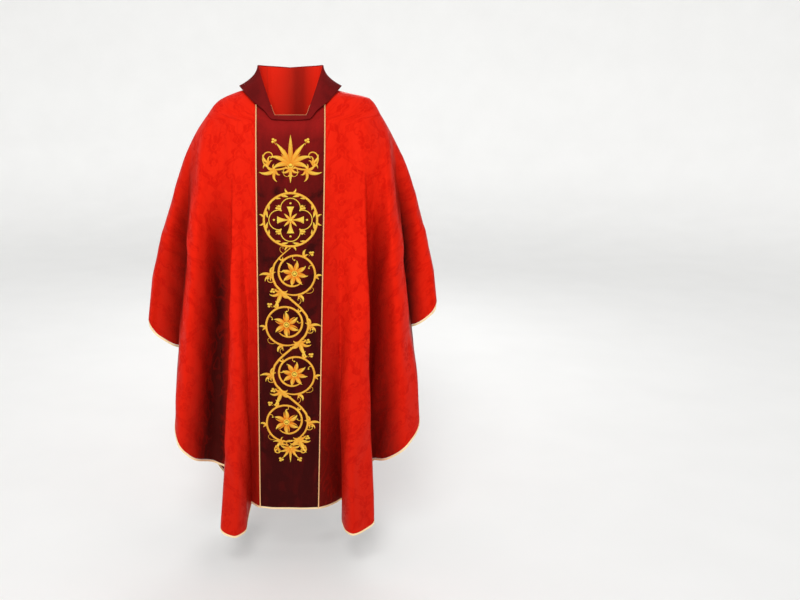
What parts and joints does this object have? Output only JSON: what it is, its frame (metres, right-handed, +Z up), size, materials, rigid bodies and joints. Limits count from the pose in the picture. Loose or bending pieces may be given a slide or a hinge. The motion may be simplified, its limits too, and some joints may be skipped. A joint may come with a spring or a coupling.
{
  "type": "gothic chasuble",
  "caption": "Wide sleeveless vestment hanging in deep folds, with velvet orphreys down front and back, embroidered scrollwork and a rolled velvet collar.",
  "frame": {"origin": "between the tops of the shoulders, where the wearer carries the garment", "axes": "+Z up, the garment's front faces -Y, +X is the wearer's left"},
  "size_m": [0.9133, 0.4258, 1.4396],
  "materials": {
    "damask": "bright red silk damask, satin ground with a tone-on-tone foliate figure, dark crimson lining",
    "orphrey_velvet": "dark burgundy velvet",
    "collar_velvet": "crimson velvet",
    "satin": "bright red satin",
    "gold": "twisted and stitched gold thread"
  },
  "bodies": {
    "root": {"front": "damask", "front_orphrey": "orphrey_velvet", "front_cord_right": "gold", "front_cord_left": "gold", "front_hem_braid": "gold", "back": "damask", "back_orphrey": "orphrey_velvet", "back_cord_right": "gold", "back_cord_left": "gold", "back_hem_braid": "gold", "collar": "collar_velvet", "collar_lining": "satin"}
  },
  "joints": []
}
